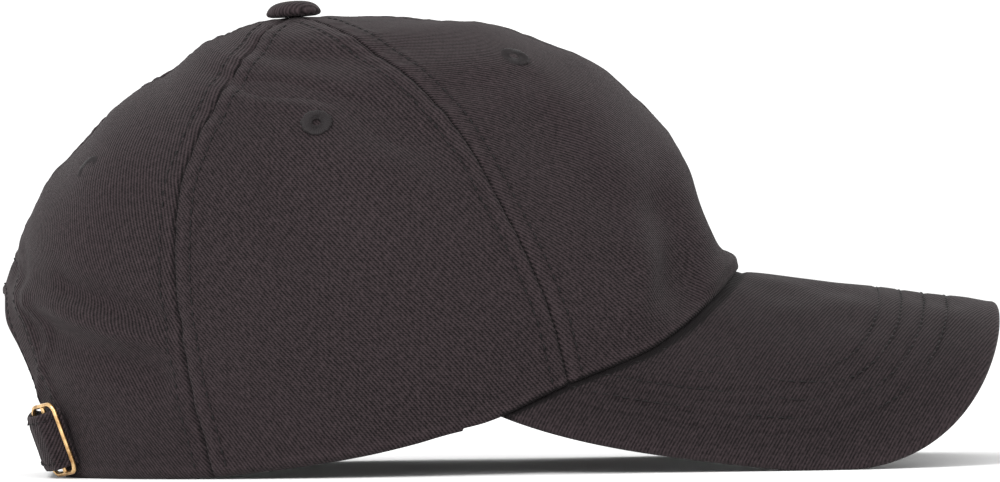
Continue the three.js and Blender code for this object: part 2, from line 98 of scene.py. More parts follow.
# Sharper creases along a path of such places, on the cloth's face only
creases = table("path width height", [
    ([(0, 0.107), (5, 0.1)], 5.5, -2.4),  # notch between the crown and its flare
    ([(0, 0.2), (8, 0.2)], 7, 1.2),
    ([(28.5, 0.144), (37.8, 0.116), (43.5, 0.08)], 4, 0.9),  # roll above the peak
    ([(26.8, 0.075), (26.8, 0.06)], 4, -0.8),
    ([(43.2, 0.15), (43.2, 0.13)], 4, -0.7),
    ([(35.5, 0.526), (45.8, 0.402), (53, 0.286)], 6, -1.3),
    ([(100.5, 0.668), (98, 0.388)], 5, -2.1),
    ([(110, 0.742), (93, 0.726), (80, 0.67), (68, 0.47)], 6, -1.5),
    ([(145.8, 0.334), (127, 0.28)], 4.5, -1.2),
    ([(158, 0.302), (139, 0.28), (127, 0.244)], 4, 1.2),
    ([(128, 0.228), (126, 0.222)], 3, -1.1),  # pocket where that ridge meets the seam
    ([(150, 0.258), (136.5, 0.224), (127, 0.182)], 5, -1.3),
    ([(157.8, 0.292), (153.8, 0.258), (152, 0.226), (156, 0.174), (159.5, 0.124)], 1.5, 0.55),
])

# The peak, cut flat and bent over an arch
peak = {
    "radius": 85,  # the arch that it is bent to
    "slope": math.radians(7.7),
    "rootForward": 68.1,
    "rootUp": 53.6,
    "length": 72.4,
    "halfWidth": 98.7,
    "cornerDepth": 62,
    "cornerTuck": 6.2,
    "squareness": 3.3,
    "frontShare": 0.7,  # share of the outline that is the rounded front
    "thickness": 3.2,
    "turn": 72,
    "columns": 200,
    "topRows": 56,
    "edgeRows": 10,
    "underRows": 14,
    "stitchRows": (14.9, 21.3, 27.6, 33.9),  # from the outer edge
    "rowDrift": 1.5,
    "rowDent": 0.32,
    "rootDent": 0.5,  # where it meets the crown
    "wave": 0.12,
}

# The arch at the back, with two stitch rows and the ridge where its hem ends, by their distance from its edge
opening = {
    "turn": 22.5,
    "level": 0.31,
    "squareness": 2,
    "rows": (2.0, 9.0),
    "rowDent": 0.25,
    "hem": 10.4,
    "hemRise": 0.3,
    "hemRidge": 0.5,
}

# How the seams lie: a groove between raised allowances, with a sunk stitch row on each side
seam = {
    "row": 4.6,
    "rowDent": 0.24,
    "rowWidth": 0.6,
    "allowance": 0.16,
    "allowanceWidth": 5.8,
    "groove": 0.55,
    "grooveWidth": 0.34,
    "valley": 0.3,
    "valleyWidth": 2.2,
    "pucker": 0.15,
    "puckerSize": 7,
}


def smoothStep(x, low, high):
    share = np.clip((x - low) / (high - low), 0, 1)
    return share * share * (3 - 2 * share)


# One at the middle, falling away to nothing over about the width on each side
def swell(x, middle, width):
    return np.exp(-(((x - middle) / width) ** 2))


def mix(a, b, share):
    return a + (b - a) * share


def unit(vectors):
    return vectors / np.linalg.norm(vectors, axis=-1, keepdims=True)


levels = np.array([section["level"] for section in crown["sections"]])


# A natural cubic spline over the section levels
def splineOver(values):
    steps = np.diff(levels)
    system, slopes = np.eye(len(levels)), np.zeros(len(levels))
    for i in range(1, len(levels) - 1):
        system[i, i - 1 : i + 2] = steps[i - 1], 2 * (steps[i - 1] + steps[i]), steps[i]
        slopes[i] = 6 * ((values[i + 1] - values[i]) / steps[i] - (values[i] - values[i - 1]) / steps[i - 1])
    bends = np.linalg.solve(system, slopes)

    def at(level):
        i = np.clip(np.searchsorted(levels, level), 1, len(levels) - 1)
        step = levels[i] - levels[i - 1]
        a = (levels[i] - level) / step
        b = 1 - a
        curve = ((a**3 - a) * bends[i - 1] + (b**3 - b) * bends[i]) * step**2 / 6
        return a * values[i - 1] + b * values[i] + curve

    return at


def sectionLine(name, index):
    return splineOver(np.array([section[name][index] for section in crown["sections"]]))


forwardAt = [sectionLine(name, 0) for name in ("front", "fore", "aft", "back")]
upAt = [sectionLine("front", 1), sectionLine("fore", 2), sectionLine("aft", 2), sectionLine("back", 1)]
sideAt = [sectionLine("fore", 1), sectionLine("aft", 1)]


# A smooth run round one side of the crown through four lines, at 0, 60, 120 and 180 degrees
def roundTheCrown(lines, level, turn):
    front, fore, aft, back = (at(level) for at in lines)
    evenSum, oddSum = (front + back) / 2, (front - back) / 2
    even = (fore + aft + evenSum) / 3
    odd = (oddSum - (fore - aft)) / 3
    return even + (oddSum - odd) * np.cos(turn) + (evenSum - even) * np.cos(2 * turn) + odd * np.cos(3 * turn)


def sideOf(degrees, level):
    turn = np.radians(degrees)
    fore, aft = (at(level) / (2 * math.sin(math.radians(60))) for at in sideAt)
    fullness = crown["frontFullness"] * (1 - smoothStep(degrees, 40, 75))
    fullness = fullness + crown["backFullness"] * smoothStep(degrees, 105, 140)
    oval = (fore + aft) * np.sin(turn) + (fore - aft) * np.sin(2 * turn)
    return oval + fullness * (1 - level) ** 2 * np.sin(3 * turn)


# How far along the peak a point of the plan is, and the height of the peak's upper face there
def peakUnder(forward, side):
    drop = peak["radius"] - np.sqrt(np.maximum(peak["radius"] ** 2 - side**2, 0))
    along = (forward - peak["rootForward"] + drop * math.sin(peak["slope"])) / math.cos(peak["slope"])
    return along, peak["rootUp"] - along * math.sin(peak["slope"]) - drop * math.cos(peak["slope"])


# The crown without its folds. Its rim lies on the peak in front and is pressed flat on the table behind.
def plainCrown(degrees, level):
    degrees, level = np.broadcast_arrays(np.asarray(degrees, float), np.asarray(level, float))
    away = np.abs(degrees)
    turn = np.radians(away)
    rim = np.zeros_like(level)
    side = sideOf(away, level)
    rimUp = roundTheCrown(upAt, rim, turn)
    toPeak = peakUnder(roundTheCrown(forwardAt, rim, turn), sideOf(away, rim))[1] + crown["gap"] - rimUp
    toTable = np.maximum(rimUp - crown["restDip"], 0) - rimUp
    nearRim = (1 - smoothStep(level, 0, 0.25)) ** 2
    lift = toPeak * (1 - smoothStep(away, peak["turn"], peak["turn"] + 14))
    up = roundTheCrown(upAt, level, turn) + nearRim * (lift + toTable * smoothStep(away, 100, 130))
    return np.stack([roundTheCrown(forwardAt, level, turn), np.where(degrees < 0, -side, side), up], -1)


# A place on the cloth laid out flat
def laidOut(degrees, level):
    radius = sideAt[0](level) / math.sin(math.radians(60))
    return np.stack(np.broadcast_arrays(np.radians(degrees) * radius, level * crown["length"]), -1)


def foldHeight(degrees, level):
    here = laidOut(np.abs(degrees), level)
    total = 0
    for fold in folds:
        start, end = laidOut(*fold["start"]), laidOut(*fold["end"])
        run = end - start
        share = np.clip((here - start) @ run / (run @ run), 0, 1)
        away = np.linalg.norm(here - start - share[..., None] * run, axis=-1) / fold["width"]
        total = total + fold["height"] * np.where(degrees < 0, fold["left"], 1) * np.exp(-away * away)
    return total * smoothStep(level, 0, 0.03)


def creaseHeight(degrees, level):
    here = laidOut(np.abs(degrees), level)
    total = 0
    for crease in creases:
        corners = [laidOut(*corner) for corner in crease["path"]]
        away = []
        for start, end in zip(corners, corners[1:]):
            run = end - start
            share = np.clip((here - start) @ run / (run @ run), 0, 1)
            away.append(np.linalg.norm(here - start - share[..., None] * run, axis=-1))
        total = total + crease["height"] * swell(np.min(away, axis=0), 0, crease["width"])
    return total


def outward(surface, degrees, level):
    high = np.minimum(level + 0.0005, 1)
    around = surface(degrees + 0.05, level) - surface(degrees - 0.05, level)
    return unit(np.cross(around, surface(degrees, high) - surface(degrees, np.maximum(high - 0.001, 0))))


def foldedCrown(degrees, level):
    height = foldHeight(degrees, level)[..., None]
    return plainCrown(degrees, level) + outward(plainCrown, degrees, level) * height


# Soft waves of about one size, the same on every run
def waves(places, size, seed, count=16):
    rng = np.random.default_rng(seed)
    total = 0
    for _ in range(count):
        turn, stretch, phase = rng.uniform(0, math.tau), rng.uniform(0.7, 1.5), rng.uniform(0, math.tau)
        across = places[..., 0] * math.cos(turn) + places[..., 1] * math.sin(turn)
        total = total + np.sin(math.tau * across / (size * stretch) + phase)
    return total / math.sqrt(count / 2)


def seamDistance(degrees, level):
    here = plainCrown(degrees, level)
    sign = np.where(degrees < 0, -1, 1)
    seams = (0 * sign, 60 * sign, 120 * sign, 180 * sign)
    return np.min([np.linalg.norm(here - plainCrown(turn, level), axis=-1) for turn in seams], axis=0)


backPerDegree = float(np.linalg.norm(plainCrown(170, 0.12) - plainCrown(169, 0.12)))
openingHalfWidth = opening["turn"] * backPerDegree
openingHeight = opening["level"] * crown["length"]


# How far the cloth's place is from the edge of the opening at the back
def openingDistance(degrees, level):
    across = (180 - np.abs(degrees)) * backPerDegree
    up = level * crown["length"]
    power = opening["squareness"]
    reach = ((across / openingHalfWidth) ** power + (up / openingHeight) ** power) ** (1 / power)
    return np.hypot(across, up) * (1 - 1 / np.maximum(reach, 1e-3))


# What the sewing does to the cloth's outer face: seams, stitch rows, hems and slight puckers
def sewnRelief(degrees, level):
    away, arch = seamDistance(degrees, level), openingDistance(degrees, level)
    edge = np.minimum(level * crown["length"], arch)
    flat = laidOut(degrees, level)
    wide, hem = seam["allowanceWidth"], opening["hem"]
    height = creaseHeight(degrees, level)
    height = height + seam["allowance"] * (1 - smoothStep(away, wide - 0.7, wide + 0.9))
    height = height - seam["groove"] * swell(away, 0, seam["grooveWidth"])
    height = height - seam["valley"] * swell(away, 0, seam["valleyWidth"])
    height = height - seam["rowDent"] * swell(away, seam["row"], seam["rowWidth"])
    height = height + opening["hemRise"] * (1 - smoothStep(arch, hem - 1, hem + 1))
    height = height + opening["hemRidge"] * swell(arch, hem, 1.3) * smoothStep(level, 0.05, 0.12)
    for row in opening["rows"]:
        height = height - opening["rowDent"] * swell(arch, row, seam["rowWidth"])
    height = height - crown["curl"] * (1 - np.clip(edge / crown["curlWidth"], 0, 1)) ** 2.2
    nearSewing = np.exp(-np.minimum(away, edge + 2) / 6) * smoothStep(edge, 0, 4)
    height = height + seam["pucker"] * waves(flat * (1, 0.9), seam["puckerSize"], 11) * nearSewing
    inField = smoothStep(edge, 2, 14) * (1 - smoothStep(level, 0.8, 0.95))
    return height + crown["wave"] * waves(flat, crown["waveSize"], 12) * inField


# The cloth's outer face, or a face depth further in. At the rim it moves level, and it stays above the peak.
def clothAt(degrees, level, depth=0.0, relief=1.0):
    point = foldedCrown(degrees, level)
    normal = outward(foldedCrown, degrees, level)
    normal[..., 2] *= smoothStep(level, 0, 0.03)
    normal = unit(normal)
    rise = relief * sewnRelief(degrees, level) - depth
    point = point + normal * rise[..., None]
    floor = peakUnder(point[..., 0], point[..., 1])[1] + crown["gap"]
    onPeak = np.abs(degrees) < peak["turn"] + 6
    point[..., 2] = np.where(onPeak, np.maximum(point[..., 2], floor), np.maximum(point[..., 2], 0.02))
    return point


# From (forward, side, up) to the frame's axes, or back
def swapAxes(points):
    return np.stack([-points[..., 1], -points[..., 0], points[..., 2]], -1)


def place(points):
    return swapAxes(points) / 1000  # in metres


def addObject(name, data):
    made = bpy.data.objects.new(name, data)
    bpy.context.scene.collection.objects.link(made)
    return made


# A mesh object from points and faces, with a cloth map in centimetres and a value at each point for wear and
# painted shade. Its faces are turned to look out.
def makePiece(name, points, faces, material, clothMap=None, wearAndPaintedShade=None, sharp=50):
    corners = np.asarray(points, float).reshape(-1, 3)
    faces = [np.asarray(group) for group in faces]
    middle = corners.mean(0)
    volume = 0
    for group in faces:
        ring = corners[group] - middle
        for k in range(1, group.shape[1] - 1):
            volume += np.einsum("ij,ij->i", ring[:, 0], np.cross(ring[:, k], ring[:, k + 1])).sum()
    if volume < 0:
        faces = [group[:, ::-1] for group in faces]
    mesh = bpy.data.meshes.new(name)
    mesh.from_pydata(corners.tolist(), [], [face for group in faces for face in group.tolist()])
    mesh.polygons.foreach_set("use_smooth", np.ones(len(mesh.polygons), bool))
    if clothMap is not None:
        at = np.empty(len(mesh.loops), np.int32)
        mesh.loops.foreach_get("vertex_index", at)
        layer = mesh.uv_layers.new(name="clothMap")
        layer.data.foreach_set("uv", np.asarray(clothMap, np.float32).reshape(-1, 2)[at].ravel())
    if wearAndPaintedShade is not None:
        layer = mesh.attributes.new("wearAndPaintedShade", "FLOAT", "POINT")
        layer.data.foreach_set("value", np.asarray(wearAndPaintedShade, np.float32).ravel())
    mesh.set_sharp_from_angle(angle=math.radians(sharp))
    mesh.materials.append(material)
    piece = addObject(name, mesh)
    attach(piece, "root")
    return piece


# Quads over a grid of rows and columns that starts at a point, joined round if asked
def gridFaces(rows, columns, first=0, roundRows=False, roundColumns=False):
    at = first + np.arange(rows * columns).reshape(rows, columns)
    if roundRows:
        at = np.vstack([at, at[:1]])
    if roundColumns:
        at = np.hstack([at, at[:, :1]])
    return np.stack([at[:-1, :-1], at[:-1, 1:], at[1:, 1:], at[1:, :-1]], -1).reshape(-1, 4)


# The faces of a wall of cloth: two matching grids, one after the other, and the strip round their edges
def wallFaces(rows, columns):
    count = rows * columns
    at = np.arange(count).reshape(rows, columns)
    loop = np.concatenate([at[0], at[1:, -1], at[-1, -2::-1], at[-2:0:-1, 0]])
    after = np.roll(loop, -1)
    strip = np.stack([after, loop, loop + count, after + count], -1)
    return [gridFaces(rows, columns), gridFaces(rows, columns, count)[:, ::-1], strip]


def addNode(tree, kind, values=None, **settings):
    node = tree.nodes.new("ShaderNode" + kind)
    for name, value in settings.items():
        setattr(node, name, value)
    for socket, value in (values or {}).items():
        if isinstance(value, bpy.types.NodeSocket):
            tree.links.new(value, node.inputs[socket])
        else:
            node.inputs[socket].default_value = value
    return node


def calc(tree, operation, *values):
    return addNode(tree, "Math", dict(enumerate(values)), operation=operation).outputs[0]


def vectorCalc(tree, operation, first, second, output=0):
    return addNode(tree, "VectorMath", {0: first, 1: second}, operation=operation).outputs[output]


# Nought to one and back along a coordinate, once each period
def ribs(tree, vector, direction, spacing):
    across = vectorCalc(tree, "DOT_PRODUCT", vector, (*direction, 0), "Value")
    wave = calc(tree, "COSINE", calc(tree, "MULTIPLY", across, math.tau / spacing))
    return calc(tree, "MULTIPLY_ADD", wave, 0.5, 0.5)


def patches(tree, vector, scale, detail, roughness=0.5, output="Fac"):
    values = {"Vector": vector, "Scale": scale, "Detail": detail, "Roughness": roughness}
    return addNode(tree, "TexNoise", values).outputs[output]


def newMaterial(name, shader):
    material = bpy.data.materials.new(name)
    material.use_nodes = True
    tree = material.node_tree
    principled = tree.nodes["Principled BSDF"]
    for socket, value in shader.items():
        principled.inputs[socket].default_value = value
    return material, tree, principled


def colourBetween(tree, principled, share, dark, pale):
    values = {"Factor": share, "A": dark, "B": pale}
    ramp = addNode(tree, "Mix", values, data_type="RGBA", clamp_factor=True)
    tree.links.new(ramp.outputs["Result"], principled.inputs["Base Color"])


# Fine relief, and a roughness that follows a texture from the least value up
def fineSurface(tree, principled, strength, distance, height, texture, spread, least):
    bump = addNode(tree, "Bump", {"Strength": strength, "Distance": distance, "Height": height})
    tree.links.new(bump.outputs["Normal"], principled.inputs["Normal"])
    tree.links.new(calc(tree, "MULTIPLY_ADD", texture, spread, least), principled.inputs["Roughness"])


# Twill: slanted ribs of short floats, with flecks of lighter fibre, uneven dye, worn edges, and painted shade
# in grooves and under the crown's rim
def twillCloth(name, look):
    material, tree, principled = newMaterial(name, look["shader"])
    clothMap = addNode(tree, "UVMap", uv_map="clothMap").outputs["UV"]
    bend = patches(tree, clothMap, 0.9, 2.0, output="Color")
    swayed = vectorCalc(tree, "ADD", clothMap, vectorCalc(tree, "MULTIPLY", bend, (look["sway"],) * 3))
    turn = math.radians(look["ribTurn"])
    rib = ribs(tree, swayed, (math.cos(turn), math.sin(turn)), look["ribSpacing"])
    floats = ribs(tree, swayed, (0.28, 0.96), look["floatSpacing"])
    weave = calc(tree, "MULTIPLY_ADD", floats, 0.22, calc(tree, "MULTIPLY", rib, 0.78))
    stretch = {"Vector": swayed, "Rotation": (0, 0, -turn), "Scale": (1 / look["ribSpacing"], 6, 1)}
    alongRibs = addNode(tree, "Mapping", stretch).outputs["Vector"]
    uneven = {
        "fleck": patches(tree, clothMap, 15.0, 3.0, 0.7),
        "broken": patches(tree, alongRibs, 0.9, 2.0, 0.6),
        "slub": patches(tree, clothMap, 3.2, 4.0, 0.65),
        "fade": patches(tree, clothMap, 0.22, 2.0),
    }
    light = calc(tree, "MULTIPLY", weave, look["ribContrast"])
    for kind, texture in uneven.items():
        light = calc(tree, "MULTIPLY_ADD", calc(tree, "SUBTRACT", texture, 0.5), look[kind], light)
    # The value at each point pales worn places and darkens others with painted shade
    wearAndPaintedShade = addNode(tree, "Attribute", attribute_name="wearAndPaintedShade").outputs["Fac"]
    light = calc(tree, "MULTIPLY_ADD", wearAndPaintedShade, look["wearAndPaintedShade"], light)
    colourBetween(tree, principled, light, look["dark"], look["pale"])
    height = calc(tree, "MULTIPLY_ADD", uneven["fleck"], 0.5, weave)
    fineSurface(tree, principled, look["bump"], 0.00022, height, uneven["fleck"], 0.16, 0.78)
    return material


clothShader = {
    "Specular IOR Level": 0.15,
    "Sheen Weight": 0.06,
    "Sheen Roughness": 0.45,
    "Sheen Tint": (0.8, 0.74, 0.74, 1),
}
crownTwill = {
    "dark": (0.0020, 0.0010, 0.0013, 1),
    "pale": (0.0390, 0.0274, 0.0300, 1),
    "ribTurn": 30,  # the ribs lean this far from upright, down to the right
    "ribSpacing": 0.088,  # in centimetres, as the cloth map is
    "floatSpacing": 0.062,
    "sway": 0.05,
    "ribContrast": 0.78,
    "fleck": 1.1,
    "broken": 0.9,
    "slub": 0.3,
    "fade": 0.16,
    "wearAndPaintedShade": 0.14,
    "bump": 0.8,
    "shader": clothShader,
}
peakTwillPaintedPaler = {
    **crownTwill,
    # paler than the crown's twill, as painted light that lifts the peak's tone
    "pale": (0.0450, 0.0318, 0.0348, 1),
    "ribTurn": 68,
    "ribContrast": 0.5,
    "broken": 0.55,
    "wearAndPaintedShade": 0.2,
}
crownCloth = twillCloth("crownTwill", crownTwill)
peakCloth = twillCloth("peakTwillPaintedPaler", peakTwillPaintedPaler)
strapCloth = twillCloth("strapTwill", {**crownTwill, "ribTurn": -42, "wearAndPaintedShade": 0.2})
buttonCloth = twillCloth("buttonTwill", {**crownTwill, "ribTurn": 40, "wearAndPaintedShade": 0.2})


# Plain cotton, woven over and under, for the band inside the rim
def plainCotton(name, look):
    material, tree, principled = newMaterial(name, look["shader"])
    clothMap = addNode(tree, "UVMap", uv_map="clothMap").outputs["UV"]
    along, across = (ribs(tree, clothMap, way, look["threadSpacing"]) for way in ((1, 0), (0, 1)))
    weave = calc(tree, "ABSOLUTE", calc(tree, "SUBTRACT", along, across))
    fleck = patches(tree, clothMap, 6.0, 5.0, 0.7)
    light = calc(tree, "MULTIPLY_ADD", weave, 0.3, calc(tree, "MULTIPLY", fleck, 0.7))
    colourBetween(tree, principled, light, look["dark"], look["pale"])
    fineSurface(tree, principled, 0.5, 0.00015, weave, fleck, 0.2, 0.75)
    return material


bandCloth = plainCotton("bandCotton", {
    "dark": (0.005, 0.0042, 0.0045, 1),
    "pale": (0.024, 0.021, 0.022, 1),
    "threadSpacing": 0.05,
    "shader": clothShader,
})


# Spun thread: fine twisted strands, in the piece's own space
def sewingThread(name, dark, pale):
    shader = {"Specular IOR Level": 0.2, "Sheen Weight": 0.05, "Sheen Roughness": 0.4}
    material, tree, principled = newMaterial(name, shader)
    strands = patches(tree, addNode(tree, "TexCoord").outputs["Object"], 2600.0, 2.0)
    colourBetween(tree, principled, strands, dark, pale)
    fineSurface(tree, principled, 0.4, 0.0001, strands, strands, 0.25, 0.5)
    return material


# The seam thread, a little darker than the cloth, and darkened further with painted shade of the stitch holes
darkThreadAndHoleShade = sewingThread("darkThreadAndHoleShade", (0.0015, 0.001, 0.0012, 1), (0.007, 0.005, 0.0055, 1))
eyeletThread = sewingThread("eyeletThread", (0.003, 0.002, 0.0022, 1), (0.019, 0.015, 0.016, 1))


# Antique brass: satin, browned in some patches and rubbed bright in others
def antiqueBrass(name, brown, bright):
    material, tree, principled = newMaterial(name, {"Metallic": 1.0})
    space = addNode(tree, "TexCoord").outputs["Object"]
    ramp = addNode(tree, "ValToRGB", {"Fac": patches(tree, space, 420.0, 4.0, 0.6)})
    for stop, at, colour in zip(ramp.color_ramp.elements, (0.34, 0.6), (brown, bright)):
        stop.position, stop.color = at, colour
    tree.links.new(ramp.outputs["Color"], principled.inputs["Base Color"])
    scratches = patches(tree, space, 1900.0, 3.0)
    fineSurface(tree, principled, 0.25, 0.00005, scratches, scratches, 0.22, 0.2)
    return material


brass = antiqueBrass("antiqueBrass", (0.34, 0.19, 0.075, 1), (0.78, 0.52, 0.25, 1))
print("materials made")


# The shares across a panel for its columns, closer together at the seams and round the opening
def panelColumns(start):
    count = crown["columns"]
    if start not in (120, -180):  # only the back panels have the opening
        even = np.linspace(0, 1, count + 1)
        return 0.5 * even + 0.25 * (1 - np.cos(math.pi * even))
    free = 1 - opening["turn"] / 60
    quarter = np.linspace(0, math.pi / 2, count // 2 + 1)
    archTurn = opening["turn"] / 60 * np.cos(quarter) ** (2 / opening["squareness"])
    even = np.linspace(0, 1, count // 2 + 1)
    shares = np.concatenate([free * (0.6 * even + 0.4 * np.sin(math.pi / 2 * even)), 1 - archTurn[1:]])
    return shares if start == 120 else 1 - shares[::-1]


def lowestLevel(degrees):
    share = np.clip((180 - np.abs(degrees)) / opening["turn"], 0, 1)
    return opening["level"] * (1 - share ** opening["squareness"]) ** (1 / opening["squareness"])


# The panel's own map: across to the right as seen from outside and up the cloth, in centimetres
def panelMap(turn, level, middle, steps=8):
    across = 0
    for k in range(steps):
        near, far = (mix(middle, turn, (k + j) / steps) for j in (0, 1))
        across = across + np.linalg.norm(plainCrown(far, level) - plainCrown(near, level), axis=-1)
    return np.stack([np.where(turn > middle, -across, across), level * crown["length"]], -1) / 10


# Where the crown's cloth is rubbed pale beside the seams, paler along the rim and the opening's edge, and
# darkened
# with painted shade in the seams' grooves, along their sunk stitch rows and where the rim sits over the peak:
# (distance from the seam or edge, width, amount)
crownWearAndShade = {
    "besideSeam": (1.8, 1.0, 0.6),
    # painted shade in the seams' grooves and along their sunk stitch rows
    "paintedShadeInSeam": (0, 0.35, -2.6),
    "paintedShadeInRow": (seam["row"], 0.4, -0.6),
    "besideEdge": (2.4, 1.0, 0.8),
    "paintedShadeOverPeak": (0.6, 1.9, -6),  # painted shade along the rim over the peak, from full to none between two distances
}


def panelWearAndShade(turn, level):
    away, rim = seamDistance(turn, level), level * crown["length"]
    edge = np.minimum(rim, openingDistance(turn, level))
    wearAndPaintedShade = 0
    for kind, distance in (("besideSeam", away), ("paintedShadeInSeam", away), ("paintedShadeInRow", away), ("besideEdge", edge)):
        middle, width, amount = crownWearAndShade[kind]
        wearAndPaintedShade = wearAndPaintedShade + amount * swell(distance, middle, width)
    # painted shade where the rim rolls in over the peak
    low, high, amount = crownWearAndShade["paintedShadeOverPeak"]
    return wearAndPaintedShade + amount * (np.abs(turn) < peak["turn"]) * (1 - smoothStep(rim, low, high))


def makePanel(name, start):
    shares = panelColumns(start)
    even = np.linspace(0, 1, crown["rows"] + 1)
    rise = 0.65 * even + 0.35 * even**1.8
    low = lowestLevel(start + 60 * shares)
    level = low + (1 - low) * rise[:, None]
    perDegree = np.linalg.norm(plainCrown(start + 1, level) - plainCrown(start, level), axis=-1)
    halfGap = crown["seamGap"] / 2
    turn = mix(start + halfGap / perDegree, start + 60 - halfGap / perDegree, shares)
    outer = clothAt(turn, level)
    inner = clothAt(start + 60 * shares + 0 * level, level, crown["wall"], 0.0)
    for face, gap in ((outer, halfGap), (inner, 0)):  # the panels beside the middle keep to their own side
        face[..., 1] = np.maximum(face[..., 1], gap) if start >= 0 else np.minimum(face[..., 1], -gap)
    flat, wearAndPaintedShade = panelMap(turn, level, start + 30), panelWearAndShade(turn, level)
    points = place(np.concatenate([outer.reshape(-1, 3), inner.reshape(-1, 3)]))
    maps = np.concatenate([flat, flat]), np.concatenate([wearAndPaintedShade, 0 * wearAndPaintedShade])
    piece = makePiece(name, points, wallFaces(*turn.shape), crownCloth, *maps)
    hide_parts(name.replace("cloth_", ""))


panelStarts = {
    "front_panel_right": 0,
    "side_panel_right": 60,
    "back_panel_right": 120,
    "front_panel_left": -60,
    "side_panel_left": -120,
    "back_panel_left": -180,
}
for node, start in panelStarts.items():
    makePanel("cloth_" + node, start)
print("crown panels made")


# Stitches along rows of (points, normals). Each is a short thread that dives into the cloth at both ends.
def makeStitches(name, rows, look, material):
    rng = np.random.default_rng(look["seed"])
    rings, sides = 5, 6
    around = np.arange(sides)[:, None] * math.tau / sides
    cosine, sine = np.cos(around), 0.75 * np.sin(around)
    along = np.linspace(0, 1, rings)
    points = []
    for path, normals in rows:
        run = np.r_[0, np.cumsum(np.linalg.norm(np.diff(path, axis=0), axis=-1))]
        count = int(run[-1] / look["pitch"])
        starts = np.arange(count) + rng.uniform(-0.05, 0.05, count) + 0.5 * (1 - look["share"])
        at = (starts[:, None] + along * look["share"]) * look["pitch"]
        middle = np.stack([np.interp(at, run, path[:, k]) for k in range(3)], -1)
        normal = unit(np.stack([np.interp(at, run, normals[:, k]) for k in range(3)], -1))
        ahead = unit(middle[:, -1:] - middle[:, :1])
        side = unit(np.cross(normal, ahead))
        middle = middle + side * rng.uniform(-0.09, 0.09, count)[:, None, None]
        bow = np.sin(math.pi * mix(0.06, 0.94, along))
        rise = look["rise"] * bow - look["sink"]
        radius = look["radius"] * (0.45 + 0.55 * bow)
        ring = side[..., None, :] * cosine + normal[..., None, :] * sine
        points.append((middle + normal * rise[:, None])[..., None, :] + ring * radius[:, None, None])
    points = np.concatenate(points)
    count = len(points)
    tube = gridFaces(rings, sides, roundColumns=True)
    step = np.arange(count)[:, None, None] * rings * sides
    ends = np.stack([np.arange(sides)[::-1], (rings - 1) * sides + np.arange(sides)])
    faces = [(tube + step).reshape(-1, 4), (ends + step).reshape(-1, sides)]
    return makePiece(name, place(points.reshape(-1, 3)), faces, material, sharp=70)


# A row of stitches on the crown's cloth, along lists of turns and levels
def crownRow(turns, levelsAlong):
    return clothAt(turns, levelsAlong), outward(foldedCrown, turns, levelsAlong)


crownStitch = {"pitch": 3.2, "share": 0.66, "radius": 0.24, "rise": 0.42, "sink": 0.1, "seed": 5}


def seamRows(seams):
    rows = []
    for turn in seams:
        level = np.linspace(0.012, 0.955, 220)
        if turn == 180:
            level = np.linspace(opening["level"] + 0.012, 0.955, 180)
        for sign in (1, -1):
            perDegree = np.linalg.norm(plainCrown(turn + sign, level) - plainCrown(turn, level), axis=-1)
            beside = turn + sign * seam["row"] / perDegree
            rows.append(crownRow(np.where(beside > 180, beside - 360, beside), level))
    return rows


middleStitch = {**crownStitch, "radius": 0.2, "rise": 0.22}  # flatter, because its rows show on the outline
for name, seams, look in (("seam", (60, 120, -60, -120), crownStitch), ("middle", (0, 180), middleStitch)):
    makeStitches(name + "_stitches", seamRows(seams), look, darkThreadAndHoleShade)


def openingRows():
    rows = []
    power = 2 / opening["squareness"]
    for away in opening["rows"]:
        turn = np.linspace(0.0, math.pi, 360)
        wide, tall = openingHalfWidth + away, openingHeight + away
        across = wide * np.sign(np.cos(turn)) * np.abs(np.cos(turn)) ** power
        level = np.maximum(tall * np.sin(turn) ** power / crown["length"], 0.012)
        degrees = 180 - across / backPerDegree
        rows.append(crownRow(np.where(degrees > 180, degrees - 360, degrees), level))
    return rows


hemStitch = {**crownStitch, "pitch": 2.9, "seed": 6}
makeStitches("opening_stitches", openingRows(), hemStitch, darkThreadAndHoleShade)
print("crown stitches made")


# The outer edge of the flat peak, for shares from -1 at the left corner to 1: (across, along)
def peakOutline(share):
    away = np.abs(share)
    back = np.clip((away - peak["frontShare"]) / (1 - peak["frontShare"]), 0, 1)
    turn = np.clip(away / peak["frontShare"], 0, 1) * math.pi / 2
    power = peak["squareness"]
    reach = (np.sin(turn) ** power + np.cos(turn) ** power) ** (-1 / power)
    across = peak["halfWidth"] * np.sin(turn) * reach - peak["cornerTuck"] * back**3
    along = peak["length"] * np.cos(turn) * reach - peak["cornerDepth"] * back
    return np.stack([np.sign(share) * across, along], -1)


def peakInner(degrees):
    rim = clothAt(degrees, 0 * degrees, crown["wall"] + 0.5, 0.0)
    along = peakUnder(rim[..., 0], rim[..., 1])[0]
    return np.stack([peak["radius"] * np.arcsin(rim[..., 1] / peak["radius"]), along], -1)


# A place of the flat peak, bent to its arch, at a depth under its upper face
def peakAt(flat, depth):
    turn = flat[..., 0] / peak["radius"]
    radius = peak["radius"] - depth
    drop = peak["radius"] - radius * np.cos(turn)
    forward = peak["rootForward"] + flat[..., 1] * math.cos(peak["slope"]) - drop * math.sin(peak["slope"])
    up = peak["rootUp"] - flat[..., 1] * math.sin(peak["slope"]) - drop * math.cos(peak["slope"])
    return np.stack([forward, radius * np.sin(turn), np.maximum(up, 0.02)], -1)


# The stitch rows swing a little wider round the corners
def rowDrift(share):
    return peak["rowDrift"] * swell(np.abs(share), 0.36, 0.13)


# How the sewing lifts and dents the peak's upper face, for distances from its outer edge and from the crown
def peakRelief(away, share, fromCrown, flat):
    height = 0.12 * smoothStep(away, 3, 8) - 0.16 * swell(away, 2.4, 0.5)
    for row in peak["stitchRows"]:
        height = height - peak["rowDent"] * swell(away, row + rowDrift(share), 0.7)
    height = height - peak["rootDent"] * swell(fromCrown, 2.4, 1.0)
    return height + peak["wave"] * waves(flat, 22, 31) * smoothStep(away, 3, 12)


